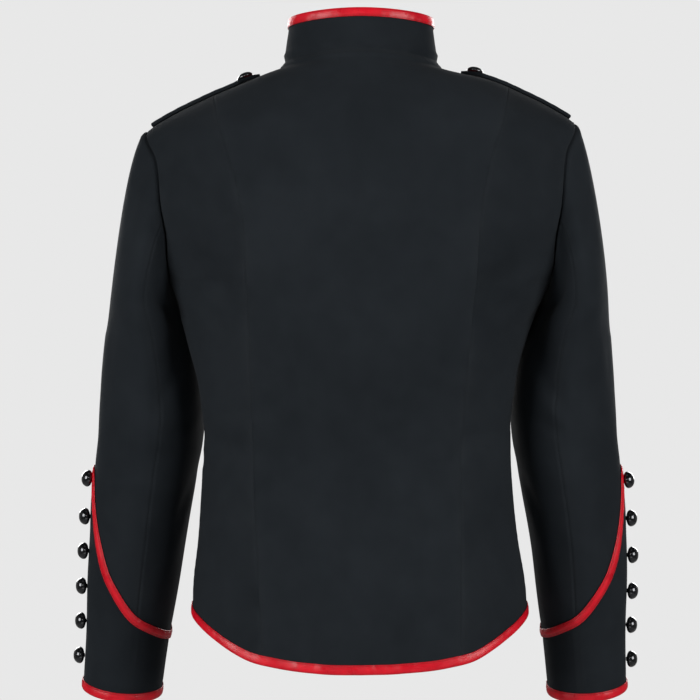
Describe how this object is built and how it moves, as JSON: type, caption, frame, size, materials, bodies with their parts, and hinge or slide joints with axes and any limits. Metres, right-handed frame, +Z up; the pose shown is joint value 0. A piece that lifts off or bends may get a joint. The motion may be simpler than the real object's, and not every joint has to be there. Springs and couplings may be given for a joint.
{
  "type": "steampunk military jacket",
  "caption": "Fitted military jacket in near-black cloth with stand collar, shoulder straps, pointed cuffs, satin binding and domed buttons, filled out as worn, open at neck, hem and cuffs.",
  "frame": {"origin": "Midway between the two points where the shoulders meet the neck seam, inside the collar.", "axes": "+Z up, +Y out of the back, -Y out of the front, +X the wearer's left."},
  "size_m": [0.631, 0.2565, 0.7554],
  "materials": {
    "wool": "near-black wool cloth, dull, with a faint blue-green cast",
    "satin": "glossy deep red satin",
    "gunmetal": "polished blackened metal"
  },
  "bodies": {
    "root": {"back_center": "wool", "back_side_left": "wool", "back_side_right": "wool", "front_left": "wool", "front_right": "wool", "sleeve_top_left": "wool", "sleeve_top_right": "wool", "sleeve_under_left": "wool", "sleeve_under_right": "wool", "cuff_left": "wool", "cuff_right": "wool", "collar": "wool", "epaulette_left": "wool", "epaulette_right": "wool", "collar_binding": "satin", "hem_binding_back": "satin", "hem_binding_front_left": "satin", "hem_binding_front_right": "satin", "cuff_binding_left": "satin", "cuff_binding_right": "satin", "cuff_tape_left": "satin", "cuff_tape_right": "satin", "epaulette_trim_left": "satin", "epaulette_trim_right": "satin", "cuff_button_left_1": "gunmetal", "cuff_button_left_2": "gunmetal", "cuff_button_left_3": "gunmetal", "cuff_button_left_4": "gunmetal", "cuff_button_left_5": "gunmetal", "cuff_button_left_6": "gunmetal", "cuff_button_right_1": "gunmetal", "cuff_button_right_2": "gunmetal", "cuff_button_right_3": "gunmetal", "cuff_button_right_4": "gunmetal", "cuff_button_right_5": "gunmetal", "cuff_button_right_6": "gunmetal", "epaulette_button_left": "gunmetal", "epaulette_button_right": "gunmetal", "front_button_1": "gunmetal", "front_button_2": "gunmetal", "front_button_3": "gunmetal", "front_button_4": "gunmetal", "front_button_5": "gunmetal", "front_button_6": "gunmetal", "front_button_7": "gunmetal"}
  },
  "joints": []
}
